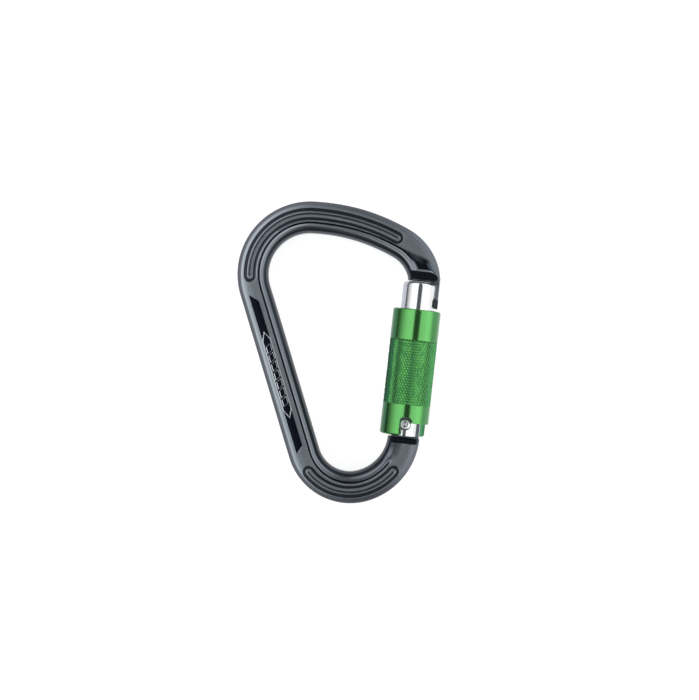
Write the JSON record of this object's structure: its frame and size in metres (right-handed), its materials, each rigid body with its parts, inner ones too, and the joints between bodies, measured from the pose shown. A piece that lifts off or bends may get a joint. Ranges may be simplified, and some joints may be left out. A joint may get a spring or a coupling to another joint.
{
  "type": "locking carabiner",
  "caption": "Asymmetric pear-shaped carabiner with a grooved forged frame and a sprung gate locked by a knurled lift-and-twist sleeve.",
  "frame": {"origin": "centre of the bounding box, on the mid-plane of the frame", "axes": "+Y along the closed gate from the hinge towards the nose, +X from the spine towards the gate side, +Z out of the face that shows the rivet head"},
  "size_m": [0.0748, 0.1068, 0.0172],
  "materials": {
    "frame": "glossy dark grey anodised",
    "gate": "polished",
    "rivet": "plated",
    "plunger": "turned",
    "spring": "drawn wire",
    "washer": "stamped",
    "sleeve": "green anodised, knurled grip band"
  },
  "bodies": {
    "frame": {"body": "frame"},
    "gate": {"gate": "gate", "hinge_rivet": "rivet", "gate_spring": "spring"},
    "plunger": {"gate_plunger": "plunger"},
    "spring_carrier": {"spring_washer": "washer", "sleeve_spring": "spring"},
    "sleeve": {"locking_sleeve": "sleeve"}
  },
  "joints": [
    {"name": "gate_swing", "type": "hinge", "parent": "frame", "child": "gate", "pos_m": [0.02877, -0.02267, 0], "axis": [0, 0, 1], "range_deg": [0, 26], "stiffness_Nm_per_rad": 0.3, "springref_deg": -28.65},
    {"name": "plunger_slide", "type": "slide", "parent": "gate", "child": "plunger", "axis": [0, 1, 0], "range_m": [0, 0.0016], "deforming": ["gate_spring"]},
    {"name": "sleeve_lift", "type": "slide", "parent": "gate", "child": "spring_carrier", "axis": [0, 1, 0], "range_m": [0, 0.0021], "deforming": ["sleeve_spring"]},
    {"name": "sleeve_twist", "type": "hinge", "parent": "spring_carrier", "child": "sleeve", "pos_m": [0.02877, -0.01066, 0], "axis": [0, -1, 0], "range_deg": [0, 107], "stiffness_Nm_per_rad": 0.01, "springref_deg": -28.65}
  ],
  "couplings": [
    {"joint": "plunger_slide", "follows": "gate_swing", "m_per_rad": 0.0035},
    {"joint": "sleeve_lift", "follows": "gate_swing", "m_per_rad": 0.0046},
    {"joint": "sleeve_twist", "follows": "gate_swing", "ratio": 4.1}
  ]
}
